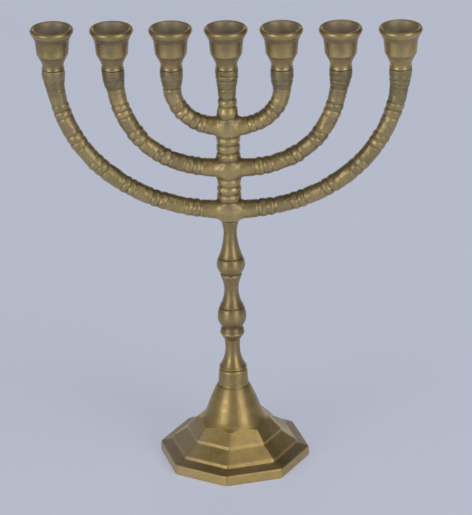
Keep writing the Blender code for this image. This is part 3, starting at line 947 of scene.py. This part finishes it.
def brass(name, colours, roughness, grain, lines, patina, edges):
    """Aged brass: blotched colour, dull tarnish with painted shade, dark grooves, worn edges, pale dust with
    a painted sheen, casting grain and lathe lines.
    """
    n = Nodes(name)
    n.pattern = n.attribute("pattern", "Vector")
    cloud = n.fit(n.noise(170.0, 4.0, 0.65), 0.3, 0.7, -CLOUD, CLOUD)
    # The tarnish attribute carries real tarnish and also painted shade, set where each piece is made.
    tarnish_and_painted_shade = n.math("ADD", n.attribute("tarnish_and_painted_shade"), cloud, clamp=True)
    breakup = n.fit(n.noise(420.0, 4.0, 0.65), 0.25, 0.7, 0.55, 1.25)
    speck = n.fit(n.noise(1500.0, 3.0, 0.7), 0.56, 0.72, 0.0, 0.35 * grain)
    hollow = n.fit(n.attribute("cavity"), 0.51, 0.70, 0.0, patina)
    soiled = n.math("ADD", n.math("MULTIPLY", hollow, breakup), speck, clamp=True)
    kept = n.math("MULTIPLY", breakup, n.fit(tarnish_and_painted_shade, 0.2, 1.0, 1.0, 0.1))
    rubbed = n.math("MULTIPLY", n.fit(n.attribute("cavity"), 0.47, 0.25, 0.0, edges), kept)
    streaks = n.fit(n.noise(130.0, 5.0, 0.7), 0.3, 0.7, 0.6, 1.2)
    # The dust attribute carries real dust inside the cups and a painted pale sheen on the foot's side and
    # back facets.
    dust_and_painted_sheen = n.math("MULTIPLY", n.attribute("dust_and_painted_sheen"), streaks, clamp=True)

    colour = n.mix(tarnish_and_painted_shade, tinted_metal(n, colours), colours["dull"])
    colour = n.mix(soiled, colour, colours["dark"])
    colour = n.mix(rubbed, colour, colours["worn"])
    n.link(n.mix(n.math("MULTIPLY", dust_and_painted_sheen, 0.75), colour, colours["dust_and_painted_sheen"]), n.shader.inputs["Base Color"])
    n.link(n.fit(dust_and_painted_sheen, 0.0, 1.0, 1.0, 0.4), n.shader.inputs["Metallic"])

    rough = n.fit(n.noise(260.0, 4.0, 0.6), 0.3, 0.7, roughness - 0.05, roughness + 0.07)
    rough = n.math("ADD", rough, n.math("MULTIPLY", tarnish_and_painted_shade, 0.06))
    rough = n.math("ADD", rough, n.math("MULTIPLY", dust_and_painted_sheen, 0.25))
    n.link(n.math("ADD", rough, n.math("MULTIPLY", soiled, 0.15), clamp=True), n.shader.inputs["Roughness"])
    n.link(n.fit(cloud, -CLOUD, CLOUD, 0.05, 0.3), n.shader.inputs["Coat Weight"])
    n.shader.inputs["Coat Roughness"].default_value = 0.3
    if lines > 0.5:
        lathe_sheen(n)

    pits = n.math("MULTIPLY", n.noise(1100.0, 4.0, 0.62), grain)
    turned = n.math("MULTIPLY", n.noise(1.0, 2.0, 0.5, n.turned_vector(3200.0, 25.0)), lines)
    n.bump(n.math("ADD", pits, turned), 0.0002, 0.55)
    return n.material


def palette(**changes):
    """Colours of one brass; the changes replace the common ones."""
    colours = {
        "base": (0.56, 0.40, 0.14), "warm": (0.60, 0.425, 0.16), "green": (0.47, 0.39, 0.13),
        "rose": (0.55, 0.38, 0.20), "dull": (0.29, 0.215, 0.112), "dark": (0.11, 0.080, 0.042),
        "worn": (0.72, 0.56, 0.28), "dust_and_painted_sheen": (0.52, 0.465, 0.375),
    }
    colours.update(changes)
    return {name: (*colour, 1.0) for name, colour in colours.items()}


def make_materials():
    turned = palette(base=(0.50, 0.37, 0.15), warm=(0.53, 0.385, 0.17), dull=(0.27, 0.20, 0.105))
    cast = palette(base=(0.54, 0.41, 0.17), warm=(0.58, 0.425, 0.185), green=(0.42, 0.41, 0.155),
                   rose=(0.56, 0.38, 0.22), dull=(0.27, 0.215, 0.118))
    plated = palette(base=(0.42, 0.42, 0.41), warm=(0.46, 0.46, 0.45), green=(0.40, 0.41, 0.41),
                     rose=(0.43, 0.42, 0.41), dull=(0.30, 0.30, 0.29), dark=(0.10, 0.10, 0.10),
                     worn=(0.60, 0.60, 0.60))
    return {                     # roughness, grain, lines, patina, edges
        "foot": brass("foot_brass", palette(), 0.40, 0.25, 0.7, 0.6, 0.6),
        "stem": brass("stem_brass", turned, 0.38, 0.15, 0.6, 0.75, 0.5),
        "tree": brass("tree_brass", cast, 0.38, 1.0, 0.0, 0.7, 0.5),
        "cup": brass("cup_brass", turned, 0.37, 0.2, 0.7, 0.8, 0.5),
        "stud": brass("stud_brass", palette(), 0.32, 0.1, 0.3, 0.5, 0.5),
        "steel": brass("plated_steel", plated, 0.30, 0.15, 0.3, 0.5, 0.6),
    }


# ---------------------------------------------------------------- floor, light and camera

def build_floor():
    """Plain pale floor that runs past every view."""
    mesh = bpy.data.meshes.new("floor")
    corners = [(x * FLOOR_HALF, y * FLOOR_HALF, 0.0) for x, y in ((-1, -1), (1, -1), (1, 1), (-1, 1))]
    mesh.from_pydata(corners, [], [(0, 1, 2, 3)])
    floor = bpy.data.objects.new("floor", mesh)
    bpy.context.scene.collection.objects.link(floor)
    n = Nodes("floor")
    tone = n.fit(n.noise(2.0, 2.0), 0.3, 0.7)
    n.link(n.mix(tone, *FLOOR_COLOURS), n.shader.inputs["Base Color"])
    n.link(n.fit(n.noise(9.0, 3.0), 0.3, 0.7, 0.5, 0.6), n.shader.inputs["Roughness"])
    n.shader.inputs["Specular IOR Level"].default_value = 0.2
    n.shader.inputs["Emission Color"].default_value = FLOOR_GLOW
    n.shader.inputs["Emission Strength"].default_value = FLOOR_GLOW_STRENGTH
    mesh.materials.append(n.material)


def direction(azimuth, elevation):
    """Unit vector away from the object, by degrees; azimuth 0 is in front and grows to the right."""
    a, e = math.radians(azimuth), math.radians(elevation)
    return Vector((math.sin(a) * math.cos(e), -math.cos(a) * math.cos(e), math.sin(e)))


def softbox(name, azimuth, elevation, distance, width, height, power):
    """Area light that faces the object from a sphere about it."""
    light = bpy.data.lights.new(name, "AREA")
    light.shape = "RECTANGLE"
    light.size = width
    light.size_y = height
    light.energy = power
    lamp = bpy.data.objects.new(name, light)
    outward = direction(azimuth, elevation)
    lamp.location = Vector(LIGHT_TARGET) + distance * outward
    lamp.rotation_euler = (-outward).to_track_quat("-Z", "Y").to_euler()
    bpy.context.scene.collection.objects.link(lamp)


def build_world():
    """Dim studio walls, brighter in front and on the left; a bright band low behind and a pale ceiling."""
    world = bpy.data.worlds.new("studio")
    world.use_nodes = True
    tree = world.node_tree
    background = tree.nodes["Background"]
    split = tree.nodes.new("ShaderNodeSeparateXYZ")
    tree.links.new(tree.nodes.new("ShaderNodeTexCoord").outputs["Generated"], split.inputs[0])

    def fit(socket, low, high, out_low, out_high):
        node = tree.nodes.new("ShaderNodeMapRange")
        node.interpolation_type = "SMOOTHSTEP"
        tree.links.new(socket, node.inputs["Value"])
        limits = {"From Min": low, "From Max": high, "To Min": out_low, "To Max": out_high}
        for name, number in limits.items():
            node.inputs[name].default_value = number
        return node.outputs["Result"]

    def combine(operation, a, b):
        node = tree.nodes.new("ShaderNodeMath")
        node.operation = operation
        tree.links.new(a, node.inputs[0])
        tree.links.new(b, node.inputs[1])
        return node.outputs[0]

    depth = fit(split.outputs[1], -0.8, 0.8, *WORLD_FRONT_BACK)
    side = fit(split.outputs[0], -0.9, 0.9, *WORLD_LEFT_RIGHT)
    low = fit(split.outputs[2], 0.10, 0.32, 1.0, 0.0)
    behind = fit(split.outputs[1], 0.70, 0.95, 0.0, WORLD_BACKDROP)
    ceiling = fit(split.outputs[2], 0.80, 0.98, 0.0, WORLD_CEILING)
    walls = combine("MULTIPLY", depth, side)
    glow = combine("ADD", walls, combine("MULTIPLY", low, behind))
    tree.links.new(combine("ADD", glow, ceiling), background.inputs["Strength"])
    background.inputs["Color"].default_value = WORLD_COLOUR
    bpy.context.scene.world = world
    bpy.context.scene.view_settings.view_transform = "Standard"


def build_lights():
    """Two large far softboxes low on either side of the camera, and a weaker one high on the right."""
    softbox("key_left", azimuth=-42.0, elevation=10.5, distance=7.0, width=3.4, height=2.6, power=KEY_LEFT)
    softbox("key_right", azimuth=42.0, elevation=13.0, distance=7.0, width=3.2, height=3.2, power=KEY_RIGHT)
    softbox("top_right", azimuth=62.0, elevation=57.0, distance=5.0, width=3.0, height=3.0, power=TOP_RIGHT)


def build_camera():
    """Long lens from a little above and to the right, rolled slightly."""
    camera_data = bpy.data.cameras.new("camera")
    camera_data.sensor_fit = "VERTICAL"
    camera_data.sensor_height = CAMERA_FRAME_HEIGHT
    camera_data.lens = CAMERA_LENS
    camera_data.shift_x = CAMERA_SHIFT
    camera_data.clip_end = 50.0
    camera = bpy.data.objects.new("camera", camera_data)
    azimuth, roll = math.radians(CAMERA_AZIMUTH), math.radians(CAMERA_ROLL)
    back = direction(CAMERA_AZIMUTH, CAMERA_ELEVATION)
    level_right = Vector((math.cos(azimuth), math.sin(azimuth), 0.0))
    level_up = back.cross(level_right)
    right = math.cos(roll) * level_right + math.sin(roll) * level_up
    up = back.cross(right)
    camera.matrix_world = Matrix((right, up, back)).transposed().to_4x4()
    camera.location = Vector((0.0, 0.0, CAMERA_AIM_HEIGHT)) + CAMERA_DISTANCE * back
    bpy.context.scene.collection.objects.link(camera)
    bpy.context.scene.camera = camera


materials = make_materials()
build_foot(materials["foot"])
build_stem(materials["stem"])
build_tree(materials["tree"])
build_cups(materials["cup"], materials["stud"])
build_fastenings(materials["steel"], materials["stud"])
build_floor()
build_world()
build_lights()
build_camera()
